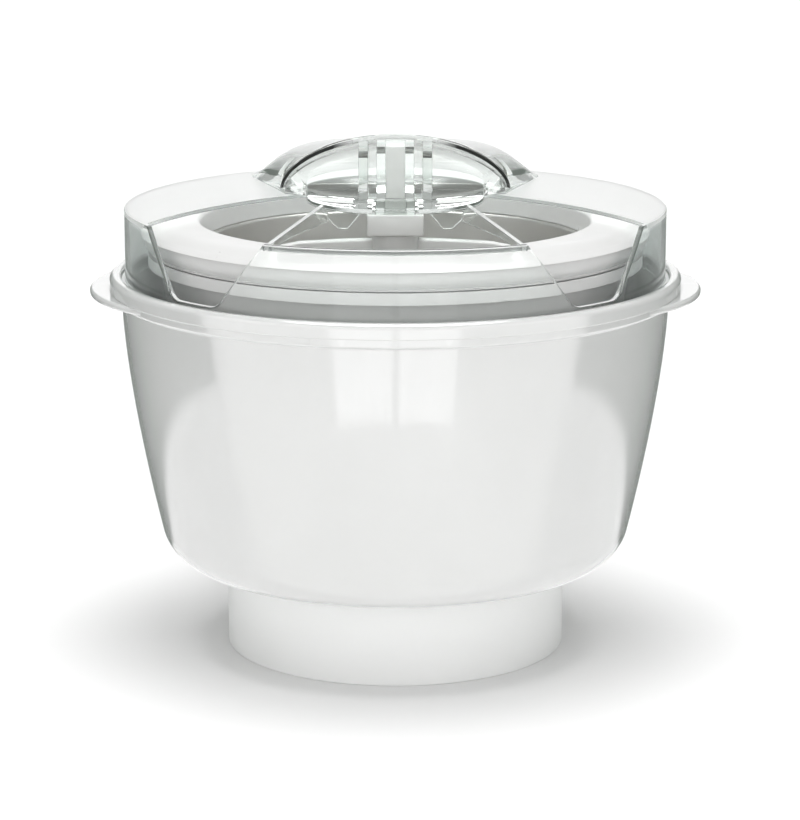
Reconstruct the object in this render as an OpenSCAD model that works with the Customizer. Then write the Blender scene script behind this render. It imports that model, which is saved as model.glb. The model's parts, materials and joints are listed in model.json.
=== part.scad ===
// Ice cream maker bowl set for a kitchen mixer with its drive below the bowl.
// The outer bowl stands on its neck. The freezer bowl turns on a turntable inside it,
// and the dasher is held still by a square socket in the clear lid.

/* [Outer bowl] */
// Outer radius of the neck that the bowl stands on
neck_r = 72.5; // [71:0.5:74]
// Height of the neck up to the bowl's floor
neck_h = 38; // [36:1:40]
// Largest outer radius of the bowl's wall, just under the rim
bowl_r = 116; // [115.6:0.1:116.2]
// How much narrower the wall is where its lower corner starts
bowl_taper = 15.6; // [15:0.2:16.4]
// Wall thickness of the bowl and the neck
bowl_wall = 3; // [2.6:0.1:3.2]
// Outer radius of the rim's lip
lip_r = 121; // [120.5:0.1:121.5]
// Height of the rim above the surface the bowl stands on
rim_h = 162.2; // [161.5:0.1:163]
// Reach of each side ear from the axis
ear_reach = 129.5; // [128:0.5:131]

/* [Freezer bowl] */
// Radius of the mouth inside the rim ring
mouth_r = 82.6; // [82:0.1:83]
// Largest radius of the rim ring's rounded edge
ring_r = 106.3; // [105.8:0.1:106.6]
// Height of the rim ring's flat top
ring_top = 184.8; // [184:0.2:185]
// Height of the seam between the rim ring and the shell
seam_h = 172; // [171.5:0.1:172.5]
// Inner radius of the metal liner near its floor
liner_low_r = 72; // [70:0.5:74]
// Height of the metal liner's floor
liner_floor = 76; // [75:0.5:78]

/* [Dasher] */
// Thickness of the paddle
paddle_t = 5; // [4:0.5:6]
// Height of the paddle's top edge at the middle
paddle_top = 175.5; // [174:0.5:176]
// Gap between the paddle and the liner
paddle_gap = 1.2; // [0.8:0.1:2]
// Side of the square stem that the lid holds
stem_side = 8; // [7:0.2:8.4]

/* [Lid] */
// Outer radius of the lid's wall
lid_r = 114.4; // [114:0.1:114.6]
// Height of the lid's top plate
lid_top = 190; // [189.6:0.1:190.4]
// Thickness of the lid's walls and top
lid_wall = 2.2; // [2:0.1:2.4]

/* [Handle] */
// Half width of the hood at its front corners
hood_half_w = 49.6; // [48:0.2:51]
// Height of the hood's top edge
hood_top = 222; // [220:0.5:223]
// Thickness of the hood
hood_wall = 2.4; // [2:0.1:2.6]

/* [Drive] */
// Radius of the drive shaft
shaft_r = 6; // [5.6:0.1:6]
// Radius of the coupling's socket for the mixer's spindle
socket_r = 7; // [6.5:0.1:7.2]
// Depth of that socket
socket_depth = 8; // [7:0.5:8]
// Radius of the turntable
table_r = 72; // [71:0.5:73]

/* [Hidden] */
$fn = 128;

white = [0.95, 0.95, 0.94];
clear = [0.88, 0.92, 0.91, 0.35];
metal = [0.62, 0.61, 0.60];
steel = [0.72, 0.73, 0.75];
dark_rubber = [0.20, 0.20, 0.21];
gel_blue = [0.45, 0.70, 0.85];

eps = 0.02;               // cutters run past a face by this much
rest_gap = 0.05;          // gap between parts that rest on each other and move apart

// outer bowl
wall_top_z = 150;         // where the wall meets the band under the lip
corner_z = 52;            // where the wall turns into the lower corner
corner_r = 19;            // outer radius of the lower corner
wall_bend = 1.47;         // how strongly the wall curves
band_z = 151.8;           // lower edge of the band under the lip
band_r = lip_r - 1.7;
lip_low_z = 155.8;        // lower edge of the lip
lip_round = 2.2;
recess_r = lip_r - 4.7;   // inside of the lip, where the lid drops in
ledge_z = 157.5;          // ledge that the lid stands on
ledge_in_r = 113.2;
ear_t = 2.5;
ear_z = 153.2;
ear_r = 81;               // radius of the ear's outline
floor_top = neck_h + bowl_wall;
neck_in_r = neck_r - bowl_wall;
boss_r = 15;
boss_low = 27;
boss_top = 50;
rib_t = 2;
rib_low = 30;
rib_count = 6;
grip_rib_count = 3;       // ribs inside the neck that key it to the mixer
key_angles = [-20, 20];   // lid keys, from straight behind
key_w = 10;
key_h = 3.6;
register_az = 16;         // half angle of the shallow pad under the lip at the front

// bushes and shaft
bush_r = 9;
bush_flange_r = 12.4;
bush_flange_t = 2;
bush_len = 8;
run_gap = 0.04;           // radial running clearance of the shaft
shaft_low = 12;
shaft_high = 57.5;
flat_depth = 1;           // depth of the two flats on the shaft's top end
flat_low = 53.1;
screw_r = 2.5;
clip_z = 23.6;
clip_t = 1;
washer_t = 1;
coupling_low = 4;
coupling_high = 22.6;
coupling_r = 13;
pin_z = 17.5;
pin_r = 1.5;
pin_half = 12;

// turntable
hub_r = 14;
hub_low = boss_top + bush_flange_t + 1.1;
table_z = 57;
table_top = 60;
guide_top = 64;
guide_t = 3.5;
lug_r = 5;
lug_pitch_r = 46;
lug_h = 5.5;
lug_count = 3;

// freezer bowl
shell_wall = 2.5;
shell_floor_z = 66;
shell_low_r = 72;
shell_corner_r = 16;
shell_top_r = 99.5;
shell_top_z = 171.9;
shell_flange_r = 104.6;
shell_flange_z = 166;
foot_ring_out = 67.8;
foot_ring_in = 63.8;
liner_t = 1.5;
liner_corner_r = 16;
liner_top_z = 174.6;
liner_flange_r = 98.5;
liner_top_r = mouth_r - 2.5;
cone_r = 7;
cone_h = 5;
gel_gap = 0.25;
gel_top = 168;
plug_r = 6;
plug_y = 28;

// dasher
collar_half = 12;         // half side of the square block under the stem
collar_low = 178;
collar_top = 187.3;
stem_top = 215.2;
pivot_r = 10;

// lid
foot_z = ledge_z + rest_gap;
foot_flange_t = 2.4;
foot_flange_r = recess_r - 0.4;
arc_cx = 51;              // the wings' front edges are arcs about (+-arc_cx, arc_cy)
arc_cy = -105;
arc_r = 162;
hub_y = 22;               // centre of the disc under the hood
hub_disc_r = 38.2;
front_bead_t = 3.9;
front_bead_low = 187.4;
notch_az = 45;            // middle of each front notch, from straight ahead
notch_out_u = 33;         // notch's top corner on the wing side
notch_in_u = 35.2;        // notch's top corner on the front side
notch_z = 162.8;
spoke_t = 2;
spoke_hub = [29.8, 3];
spoke_rim = [49.4, -97];
gusset_t = 2;
gusset_y = 20;
socket_half = 7.9;        // half side of the square stem socket
socket_gap = 0.05;

// handle hood
hood_cy = 28;             // the hood's front edge follows an ellipse about y = hood_cy
hood_depth = 44;
hood_corner_z = 192.9;
hood_power = 1.12;
hood_bulge = 2.5;         // how far the roof swells above straight lines
hood_shoulder = 4.5;      // how much more it swells half way to its corners
back_half_w = 64;
back_y = 75;
back_depth = 30;
scoop_depth = 28;         // how far the finger scoop reaches back
scoop_drop = 2.75;
lip_h = 4.1;              // height of the scoop's lip at the middle
hood_end_a = 86;
hood_steps = 36;
web_x = 11.4;             // inner face of the webs beside the socket
web_t = 4;
web_front = -14.2;
web_back = 10;

// ---- helpers ----

// points along an arc from angle a0 to a1 about [cx, cz]
function arc(cx, cz, r, a0, a1, n = 8) =
  [for (i = [0:n]) let (a = a0 + (a1 - a0) * i / n) [cx + r * cos(a), cz + r * sin(a)]];

module ring(r_in, r_out, z0, z1) {
  translate([0, 0, z0]) difference() {
    cylinder(r = r_out, h = z1 - z0);
    translate([0, 0, -1]) cylinder(r = r_in, h = z1 - z0 + 2);
  }
}

module disc(r, z0, z1) {
  translate([0, 0, z0]) cylinder(r = r, h = z1 - z0);
}

module around(count, start = 0) {
  for (i = [0:count - 1]) rotate(start + i * 360 / count) children();
}

module both_sides() {
  children();
  mirror([1, 0, 0]) children();
}

// a plate standing in the XZ plane, centred on y
module upright(t, y = 0) {
  translate([0, y + t / 2, 0]) rotate([90, 0, 0]) linear_extrude(t) children();
}

// ---- outer bowl ----

// outer radius of the bowl's wall at height z
function wall_r(z) =
  bowl_r - bowl_taper * pow((wall_top_z - z) / (wall_top_z - corner_z), wall_bend);
corner_cx = wall_r(corner_z) - corner_r * cos(13);
corner_cz = corner_z + corner_r * sin(13);
corner_low = corner_cz - corner_r;

module bowl_section() {
  n = 14;
  step = (wall_top_z - corner_z) / n;
  outside = concat(
    [[neck_r, 0], [neck_r, corner_low - 3.4]],
    [for (p = arc(neck_r + 3.4, corner_low - 3.4, 3.4, 180, 90, 4)) p],
    arc(corner_cx, corner_cz, corner_r, -80, -13, 12),
    [for (i = [1:n]) [wall_r(corner_z + i * step), corner_z + i * step]],
    arc(band_r - 2.4, band_z + 2.4, 2.4, -80, 0, 4),
    [[band_r, lip_low_z], [lip_r - 0.5, lip_low_z], [lip_r, lip_low_z + 0.5]],
    arc(lip_r - lip_round, rim_h - lip_round, lip_round, 0, 90, 6));
  inside = concat(
    arc(recess_r + 1.2, rim_h - 1.2, 1.2, 90, 180, 4),
    [[recess_r, ledge_z], [ledge_in_r, ledge_z]],
    [for (i = [n:-1:1]) [wall_r(corner_z + i * step) - bowl_wall, corner_z + i * step]],
    arc(corner_cx, corner_cz, corner_r - bowl_wall, -13, -90, 12),
    [[boss_r, floor_top], [boss_r, boss_top], [bush_r, boss_top], [bush_r, boss_low],
     [boss_r, boss_low], [boss_r, neck_h], [neck_in_r, neck_h], [neck_in_r, 0]]);
  polygon(concat(outside, inside));
}

module ears() {
  difference() {
    both_sides() translate([ear_reach - ear_r, 0, ear_z]) cylinder(r = ear_r, h = ear_t);
    translate([0, 0, ear_z - 1]) cylinder(r = recess_r + 1, h = ear_t + 2);
  }
}

// shallow pad on the band at the front, which shows which way round the bowl goes
module front_register() {
  rotate(-90 - register_az) rotate_extrude(angle = 2 * register_az)
    polygon([[band_r - 2, band_z + 1], [band_r + 0.9, band_z + 1], [band_r + 1.2, lip_low_z + 0.5],
             [band_r - 2, lip_low_z + 0.5]]);
}

module outer_bowl() {
  color(white) difference() {
    union() {
      rotate_extrude() bowl_section();
      ears();
      front_register();
      around(rib_count, 30) translate([boss_r - 1, -rib_t / 2, rib_low])
        cube([neck_in_r - boss_r + 1.5, rib_t, neck_h - rib_low + 1]);
      around(grip_rib_count, 90) translate([neck_in_r - 3, -4, 8]) cube([3.5, 8, 12]);
    }
    // slots in the lip for the lid's keys
    for (a = key_angles) rotate(a + 90) translate([recess_r - 2, -key_w / 2 - 0.3, ledge_z])
      cube([4.6, key_w + 0.6, rim_h]);
  }
}

// ---- bearings and drive ----

module bush(z_flange, up) {
  color([0.75, 0.66, 0.48]) difference() {
    union() {
      disc(bush_r, up ? z_flange - bush_len : z_flange + bush_flange_t,
           up ? z_flange : z_flange + bush_flange_t + bush_len);
      disc(bush_flange_r, z_flange, z_flange + bush_flange_t);
    }
    disc(shaft_r + run_gap, z_flange - bush_len - 1, z_flange + bush_len + bush_flange_t + 1);
  }
}

module upper_bush() bush(boss_top, true);
module lower_bush() bush(boss_low - bush_flange_t, false);

module drive_shaft() {
  color(steel) difference() {
    disc(shaft_r, shaft_low, shaft_high);
    for (y = [shaft_r - flat_depth, -2 * shaft_r + flat_depth]) translate([-shaft_r - 1, y, flat_low])
      cube([2 * shaft_r + 2, shaft_r, shaft_high]);
    disc(screw_r, shaft_high - 12, shaft_high + 1);
    ring(shaft_r - 0.8, shaft_r + 1, clip_z - eps, clip_z + clip_t + eps);
    translate([-pin_half, 0, pin_z]) rotate([0, 90, 0]) cylinder(r = pin_r, h = 2 * pin_half);
  }
}

module drive_coupling() {
  color([0.85, 0.85, 0.83]) difference() {
    union() {
      disc(coupling_r, coupling_low, coupling_high);
      around(6) translate([coupling_r - 1, -1.5, coupling_low + 2])
        cube([3, 3, coupling_high - coupling_low - 4]);
    }
    disc(shaft_r, coupling_low + socket_depth - eps, coupling_high + 1);
    disc(socket_r, coupling_low - 1, coupling_low + socket_depth);
    // two slots for the spindle's cross pin
    translate([-coupling_r + 2, -1.6, coupling_low - 1]) cube([2 * coupling_r - 4, 3.2, 6]);
    translate([-pin_half, 0, pin_z]) rotate([0, 90, 0]) cylinder(r = pin_r, h = 2 * pin_half);
  }
}

module coupling_pin() {
  color(steel) translate([-pin_half + 0.1, 0, pin_z]) rotate([0, 90, 0])
    cylinder(r = pin_r, h = 2 * pin_half - 0.2);
}

module retaining_clip() {
  color(steel) difference() {
    ring(shaft_r - 0.8, shaft_r + 3.5, clip_z, clip_z + clip_t);
    translate([-3.4, -2 * shaft_r, clip_z - 1]) cube([6.8, 2 * shaft_r - 2, 3]);
  }
}

module clip_washer() {
  low = clip_z + clip_t;
  color(steel) ring(shaft_r + 0.2, shaft_r + 4.6, low, boss_low - bush_flange_t - rest_gap);
}

module thrust_washer() {
  low = boss_top + bush_flange_t + 0.1;
  color([0.9, 0.88, 0.8]) ring(shaft_r + 0.2, bush_flange_r - 0.8, low, hub_low);
}

// rubber ring on the turntable's hub whose lip runs just above the bowl's boss
module splash_seal() {
  lip_z = boss_top + 0.3;
  color(dark_rubber) rotate_extrude() polygon([
    [hub_r, hub_low + 0.4], [hub_r + 2.6, hub_low + 0.4], [hub_r + 3.4, lip_z],
    [hub_r + 2.4, lip_z], [hub_r + 1.2, hub_low - 1.2], [hub_r, hub_low - 1.2]]);
}

module turntable() {
  color([0.86, 0.87, 0.87]) difference() {
    union() {
      disc(hub_r, hub_low, table_top);
      ring(hub_r + 2.6, hub_r + 5.2, hub_low + 0.6, table_top);
      disc(table_r, table_z, table_top);
      ring(table_r - guide_t, table_r, table_z, guide_top);
      around(lug_count, 90) translate([lug_pitch_r, 0, table_top - 1]) cylinder(r = lug_r, h = lug_h + 1);
      around(6) translate([hub_r + 4, -1, hub_low + 1.5]) cube([table_r - hub_r - 14, 2, 4]);
    }
    intersection() {
      disc(shaft_r, hub_low - 1, shaft_high);
      translate([-shaft_r, -shaft_r + flat_depth, 0])
        cube([2 * shaft_r, 2 * (shaft_r - flat_depth), 2 * shaft_high]);
    }
    disc(screw_r + 0.2, shaft_high - 1, table_top + 1);
    // lightening holes between the lugs
    around(lug_count, 30) translate([lug_pitch_r, 0, table_z - 1]) cylinder(r = 12, h = 5);
  }
}

module turntable_screw() {
  color(steel) difference() {
    union() {
      disc(screw_r, shaft_high - 11, table_top + 1);
      disc(5.2, table_top, table_top + 2.2);
    }
    translate([0, 0, table_top + 1]) cylinder(r = 2.1, h = 3, $fn = 6);
  }
}

// ---- freezer bowl ----

// radius of the shell's outside and of the liner's inside at height z
function shell_r(z) =
  shell_low_r + shell_corner_r - 2
  + (shell_top_r - shell_low_r - shell_corner_r + 2) * (z - shell_floor_z - shell_corner_r)
  / (shell_flange_z - shell_floor_z - shell_corner_r);
function liner_r(z) =
  liner_low_r + (liner_top_r - liner_low_r) * (z - liner_floor - liner_corner_r)
  / (liner_top_z - liner_floor - liner_corner_r);

module freezer_shell() {
  low_wall = shell_floor_z + shell_corner_r;
  outside = concat(
    [[0, shell_floor_z], [foot_ring_in, shell_floor_z], [foot_ring_in, table_top + rest_gap],
     [foot_ring_out, table_top + rest_gap], [foot_ring_out, shell_floor_z]],
    arc(shell_r(low_wall) - shell_corner_r, low_wall, shell_corner_r, -88, 0, 8),
    [[shell_r(shell_flange_z), shell_flange_z], [shell_flange_r, shell_flange_z + 0.6],
     [shell_flange_r, seam_h - 0.5], [shell_top_r + 0.4, seam_h - 0.5], [shell_top_r, shell_top_z]]);
  inside = concat(
    [[shell_top_r - shell_wall, shell_top_z], [shell_r(shell_flange_z) - shell_wall, shell_flange_z]],
    arc(shell_r(low_wall) - shell_corner_r, low_wall, shell_corner_r - shell_wall, 0, -90, 8),
    [[0, shell_floor_z + shell_wall]]);
  color(white) difference() {
    union() {
      rotate_extrude() polygon(concat(outside, inside));
      around(lug_count, 90) translate([lug_pitch_r, 0, 0])
        ring(lug_r + 0.3, lug_r + 2.6, table_top + 0.6, shell_floor_z + 0.5);
    }
    // the filling hole
    translate([0, -plug_y, shell_floor_z - 1]) cylinder(r = plug_r, h = shell_wall + 2);
  }
}

module fill_plug() {
  color(dark_rubber) translate([0, -plug_y, 0]) {
    disc(plug_r, shell_floor_z - eps, shell_floor_z + shell_wall);
    disc(plug_r + 2.2, shell_floor_z - 2, shell_floor_z - eps / 2);
  }
}

module freezer_liner() {
  low_wall = liner_floor + liner_corner_r;
  inside = concat(
    [[0, liner_floor + cone_h], [2, liner_floor + cone_h], [cone_r, liner_floor]],
    arc(liner_low_r - liner_corner_r, low_wall, liner_corner_r, -90, 0, 10),
    [[liner_top_r, liner_top_z], [liner_flange_r, liner_top_z], [liner_flange_r, liner_top_z - liner_t]]);
  outside = concat(
    [[liner_top_r + liner_t, liner_top_z - liner_t]],
    arc(liner_low_r - liner_corner_r, low_wall, liner_corner_r + liner_t, 0, -90, 10),
    [[cone_r + 1, liner_floor - liner_t]],
    [for (x = [2.6, 0]) [x, liner_floor + cone_h - liner_t]]);
  color(metal) rotate_extrude() polygon(concat(inside, outside));
}

module freezer_rim_ring() {
  outside = concat(
    [[ring_r - 1.1, seam_h]],
    [for (p = arc(ring_r - 6, seam_h + 5.4, 6, -32, 42, 8)) p],
    [for (p = arc(95.6, ring_top - 17, 17, 50, 90, 6)) p],
    [[mouth_r + 2.4, ring_top]],
    arc(mouth_r + 2.4, ring_top - 2.4, 2.4, 100, 180, 5),
    [[mouth_r - 1.2, liner_top_z + 0.1]]);
  inside = [
    [mouth_r + 1, liner_top_z + 0.1], [mouth_r + 2.2, ring_top - 2.6], [94, ring_top - 2.6],
    [liner_flange_r + 1.6, ring_top - 4.5], [liner_flange_r + 2.2, seam_h + 0.4],
    [liner_flange_r + 2.4, seam_h]];
  color(white) rotate_extrude() polygon(concat(outside, inside));
}

module rim_gasket() {
  color([0.55, 0.6, 0.62]) ring(90, liner_flange_r - 0.3, shell_top_z + 0.02, liner_top_z - liner_t - 0.02);
}

module coolant_gel() {
  low_liner = liner_floor + liner_corner_r;
  low_shell = shell_floor_z + shell_corner_r;
  liner_out = liner_corner_r + liner_t + gel_gap;
  shell_in = shell_corner_r - shell_wall - gel_gap;
  z_in = gel_top;
  inner = concat(
    [for (x = [0, liner_low_r - liner_corner_r]) [x, liner_floor - liner_t - gel_gap]],
    arc(liner_low_r - liner_corner_r, low_liner, liner_out, -90, 0, 10),
    [[liner_r(z_in) + liner_t + gel_gap, z_in]]);
  outer = concat(
    [[shell_top_r - shell_wall - gel_gap, z_in],
      [shell_r(shell_flange_z) - shell_wall - gel_gap, shell_flange_z]],
    arc(shell_r(low_shell) - shell_corner_r, low_shell, shell_in, 0, -90, 8),
    [[0, shell_floor_z + shell_wall + gel_gap]]);
  color(gel_blue) rotate_extrude() polygon(concat(inner, outer));
}

// ---- dasher ----

module paddle_outline() {
  low_z = liner_floor + paddle_gap;
  corner_z = liner_floor + liner_corner_r;
  r_low = liner_low_r - liner_corner_r;
  half = concat(
    arc(r_low, corner_z, liner_corner_r - paddle_gap, -90, 0, 8),
    [[liner_r(150) - paddle_gap, 150]],
    arc(62, 157, 13.5, 0, 62, 5),
    arc(40, 166, 8, 70, 88, 2),
    [[20, paddle_top - 0.4]]);
  other = [for (i = [len(half) - 1:-1:0]) [-half[i][0], half[i][1]]];
  polygon(concat(
    [[pivot_r, low_z]], half, [[0, paddle_top]], other,
    [[-pivot_r, low_z], [-pivot_r, low_z + cone_h + 3], [pivot_r, low_z + cone_h + 3]]));
}

// one opening in the paddle, on the +X side
module paddle_window(low, high, inner, slope) {
  r = 5;
  polygon(concat(
    arc(inner + r, low + r, r, 180, 270, 4),
    arc(liner_r(low + 8) - 17, low + r, r, 270, 360, 4),
    arc(liner_r(high) - 17 - slope, high - r, r, 0, 90, 4),
    arc(inner + r, high - r, r, 90, 180, 4)));
}

// slanted scraper along the paddle's outer edge
module scraper() {
  low = liner_floor + liner_corner_r + 4;
  high = 148;
  hull() {
    for (z = [low, high]) translate([liner_r(z) - paddle_gap - 7.6, 0, z]) rotate(38)
      translate([-5, -1.5, 0]) cube([9, 3, 1]);
  }
}

module dasher() {
  color(white) {
    difference() {
      union() {
        upright(paddle_t) difference() {
          paddle_outline();
          for (s = [1, -1]) scale([s, 1]) {
            paddle_window(88, 118, 12, 0);
            paddle_window(126, 157, 12, 6);
          }
        }
        scraper();
        rotate(180) scraper();
        disc(pivot_r, liner_floor + cone_h + 2, collar_low + 1);
        translate([-collar_half, -collar_half, collar_low])
          cube([2 * collar_half, 2 * collar_half, collar_top - collar_low]);
      }
      // seat over the liner's cone
      translate([0, 0, liner_floor]) cylinder(r1 = cone_r + 3, r2 = 3.2, h = cone_h + 3.4);
    }
    translate([-stem_side / 2, -stem_side / 2, collar_top - 0.5])
      cube([stem_side, stem_side, stem_top - collar_top + 0.5]);
  }
}

// ---- lid ----

// the front opening in the top plate, between the wings
module front_opening_2d() {
  intersection() {
    translate([arc_cx, arc_cy]) circle(r = arc_r);
    translate([-arc_cx, arc_cy]) circle(r = arc_r);
  }
}

// side view of a notch: a V with a rounded foot
module notch_2d() {
  polygon(concat(
    [[-notch_in_u - 8, lid_top + 10], [-notch_in_u, lid_top]],
    arc(-9.1, notch_z + 8, 8, 219, 270, 5),
    arc(8.75, notch_z + 8, 8, 270, 324, 5),
    [[notch_out_u, lid_top], [notch_out_u + 7.3, lid_top + 10]]));
}

module notch() {
  rotate(-90 + notch_az) rotate([90, 0, 90]) translate([0, 0, 90]) linear_extrude(40) notch_2d();
}

module lid_wall_ring() {
  difference() {
    union() {
      ring(lid_r - lid_wall, lid_r, foot_z, lid_top);
      ring(lid_r - lid_wall, foot_flange_r, foot_z, foot_z + foot_flange_t);
      intersection() {
        ring(lid_r - front_bead_t, lid_r, front_bead_low, lid_top);
        translate([-60, -lid_r - 1, 0]) cube([120, 40, lid_top + 1]);
      }
    }
    notch();
    mirror([1, 0, 0]) notch();
  }
}

module spoke() {
  along = spoke_rim - spoke_hub;
  length = norm(along);
  translate([spoke_hub[0], spoke_hub[1], 0]) rotate(atan2(along[1], along[0]))
    translate([-2, -spoke_t / 2, 0]) rotate([90, 0, 0]) translate([0, 0, -spoke_t]) linear_extrude(spoke_t)
      polygon([
        [0, 181.5], [12, 182.5], [length * 0.62, 186], [length + 4, 187.2],
        [length + 4, lid_top], [0, lid_top]]);
}

module lid_cover() {
  color(clear) {
    difference() {
      union() {
        lid_wall_ring();
        translate([0, 0, lid_top - lid_wall]) linear_extrude(lid_wall) difference() {
          circle(r = lid_r - 0.6);
          front_opening_2d();
        }
        translate([0, hub_y, 0]) disc(hub_disc_r, lid_top - lid_wall, lid_top);
        both_sides() spoke();
        upright(gusset_t, gusset_y) both_sides_2d()
          polygon([[9.9, lid_top - 2], [20.4, 176.1], [24.6, 176.1], [37, lid_top - 2]]);
        for (a = key_angles) rotate(a + 90) translate([lid_r - 1, -key_w / 2, foot_z])
          cube([4.4, key_w, key_h]);
      }
      socket_block(socket_gap, lid_top - lid_wall - 10);
    }
  }
}

module both_sides_2d() {
  children();
  mirror([1, 0]) children();
}

// the socket's outside, grown by a gap, from a given height up
module socket_block(gap, low) {
  half = socket_half + gap;
  upright_x(2 * half) polygon([
    [-half, low], [-half, lid_top + 28.6 + gap], [half, lid_top + 26 + gap], [half, low]]);
}

module stem_socket() {
  bore = stem_side / 2 + 0.2;
  color(clear) difference() {
    socket_block(0, lid_top - lid_wall);
    translate([-bore, -bore, lid_top - 10]) cube([2 * bore, 2 * bore, 50]);
  }
}

// extrudes a side view, drawn as [y, z], evenly about x = 0
module upright_x(t) {
  rotate([90, 0, 90]) translate([0, 0, -t / 2]) linear_extrude(t) children();
}

// one of the two webs beside the socket, up into the hood's roof
module web() {
  translate([web_x + web_t / 2, 0, 0]) upright_x(web_t)
    polygon([
      [web_front, lid_top + eps], [web_front, hood_top - 2],
      [web_back, hood_top - 6], [web_back, lid_top + eps]]);
}

// a point of the hood's front edge, with a from -90 on the left to 90 on the right
function hood_front(a) =
  let (rise = (hood_top - hood_corner_z) * pow(cos(a), hood_power))
  [hood_half_w * sin(a), hood_cy - hood_depth * cos(a), hood_corner_z + rise];

// a point of the roof, with s from 0 at its front edge to 1 at its back edge
function roof_point(a, s, drop) =
  let (
    back = [back_half_w * sin(a), back_y + back_depth * cos(a), lid_top + 0.8],
    p = hood_front(a) + (back - hood_front(a)) * s,
    swell = (hood_bulge + hood_shoulder * pow(sin(2 * a), 2)) * sin(180 * s))
  [p[0], p[1], max(lid_top + eps, p[2] + swell - drop)];

// a point of the scoop's lip, which follows the disc and then runs out to the hood's corners
function lip_point(a) =
  let (
    side = sign(a),
    round_a = min(abs(a), 66) * 90 / 66,
    out = max(0, abs(a) - 66) / 24,
    z = lid_top + lip_h - 1.2 * pow(a / 90, 2))
  [side * (hub_disc_r * sin(round_a) + 11.1 * out), hub_y - hub_disc_r * cos(round_a) + 6 * out, z];

// a point of the scoop, with t from 0 under the front edge to 180 at the lip
function scoop_point(a, t) =
  let (
    lip = lip_point(a),
    edge = hood_front(a),
    top = [edge[0], edge[1], max(edge[2] - hood_wall, lip[2] + 0.2)],
    reach = pow(max(0, cos(a * 90 / hood_end_a)), 0.9))
  top * (1 + cos(t)) / 2 + lip * (1 - cos(t)) / 2 + sin(t) * reach * [-3 * sin(a), scoop_depth, -scoop_drop];

// the scoop's other face, away from the fingers
function scoop_back(a, t) =
  let (p = scoop_point(a, t), lift = cos(t) * (cos(t) > 0 ? hood_wall : 4))
  [p[0], p[1] + 2.2 * sin(t), max(lid_top + eps, p[2] + lift)];

// outline of the hood at one angle: over the roof, in along the scoop, and back underneath
function hood_section(a) =
  let (
    lip = lip_point(a),
    low_front = [lip[0], lip[1], lid_top + eps],
    low_back = roof_point(a, 1, 10),
    under = concat(
      [for (t = [165:-12:45]) scoop_back(a, t)],
      [for (s = [0.2, 0.35, 0.55, 0.75, 0.93]) roof_point(a, s, hood_wall)],
      [low_back]),
    n = len(under),
    u = min(1, max(0, (abs(a) - 72) / 12)),
    shut = u * u * (3 - 2 * u))
  concat(
    [for (s = [1:-0.125:0]) roof_point(a, s, 0)],
    [for (t = [0:15:180]) scoop_point(a, t)],
    [low_front],
    [for (k = [0:n - 1]) under[k] * (1 - shut) + (low_front + (low_back - low_front) * (k + 1) / n) * shut]);

module hood() {
  rows = [for (i = [0:hood_steps]) hood_section(-hood_end_a + 2 * hood_end_a * i / hood_steps)];
  n = len(rows[0]);
  last = hood_steps * n;
  top = 4;
  faces = concat(
    [for (i = [0:hood_steps - 1], k = [0:n - 1]) let (m = (k + 1) % n) each
      [[i * n + k, (i + 1) * n + m, i * n + m], [i * n + k, (i + 1) * n + k, (i + 1) * n + m]]],
    [for (k = [1:n - 2]) [top, (top + k) % n, (top + k + 1) % n]],
    [for (k = [1:n - 2]) [last + top, last + (top + k + 1) % n, last + (top + k) % n]]);
  polyhedron([for (row = rows) each row], faces, convexity = 8);
}

module lid_handle() {
  color(clear) difference() {
    union() {
      hood();
      both_sides() web();
    }
    socket_block(socket_gap, lid_top - 1);
  }
}

outer_bowl();
upper_bush();
lower_bush();
drive_shaft();
drive_coupling();
coupling_pin();
retaining_clip();
clip_washer();
thrust_washer();
splash_seal();
turntable();
turntable_screw();
freezer_shell();
freezer_liner();
freezer_rim_ring();
rim_gasket();
coolant_gel();
fill_plug();
dasher();
lid_cover();
stem_socket();
lid_handle();
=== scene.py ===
"""Looks of the ice cream maker bowl set.

Lengths are in millimetres until finish_mesh() turns them into metres. Materials measure in metres. The front is -Y,
and an angle about the axis is in degrees from straight ahead towards +X, unless a function says otherwise."""

import json
import math

import bmesh
import bpy
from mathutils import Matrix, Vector

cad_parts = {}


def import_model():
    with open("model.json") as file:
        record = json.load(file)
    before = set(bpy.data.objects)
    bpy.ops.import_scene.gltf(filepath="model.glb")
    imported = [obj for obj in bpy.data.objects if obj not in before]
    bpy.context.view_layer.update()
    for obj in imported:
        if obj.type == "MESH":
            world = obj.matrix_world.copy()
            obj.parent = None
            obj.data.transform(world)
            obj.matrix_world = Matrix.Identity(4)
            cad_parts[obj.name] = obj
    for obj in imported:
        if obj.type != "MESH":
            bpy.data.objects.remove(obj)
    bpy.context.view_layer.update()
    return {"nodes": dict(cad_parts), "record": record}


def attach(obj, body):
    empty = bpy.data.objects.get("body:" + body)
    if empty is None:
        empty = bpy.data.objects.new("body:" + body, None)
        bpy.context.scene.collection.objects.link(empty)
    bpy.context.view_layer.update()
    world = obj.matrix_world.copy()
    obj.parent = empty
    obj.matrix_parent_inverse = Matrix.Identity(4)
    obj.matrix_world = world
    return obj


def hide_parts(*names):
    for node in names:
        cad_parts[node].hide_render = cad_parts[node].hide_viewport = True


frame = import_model()
MM = 0.001

# Sizes that more than one place needs.
LID_R, LID_TOP, LID_WALL, FOOT_Z = 114.4, 190.0, 2.2, 157.55      # the lid's wall: radius, top, thickness, foot
ON_LID = LID_TOP + 0.02                                           # where what stands on the lid begins
DISC_R, DISC_Y = 38.2, 22                                         # the disc in the middle of the lid
HOOD_HALF, HOOD_DEPTH, HOOD_Y = 49.6, 44, 28                      # the hood's front edge from above: an ellipse
HOOD_LOW, HOOD_RISE, HOOD_CURVE = 192.9, 29.1, 1.12               # the height of that edge
STEM_HALF = 7.95                                                  # half the width of the stem's square passage


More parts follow.
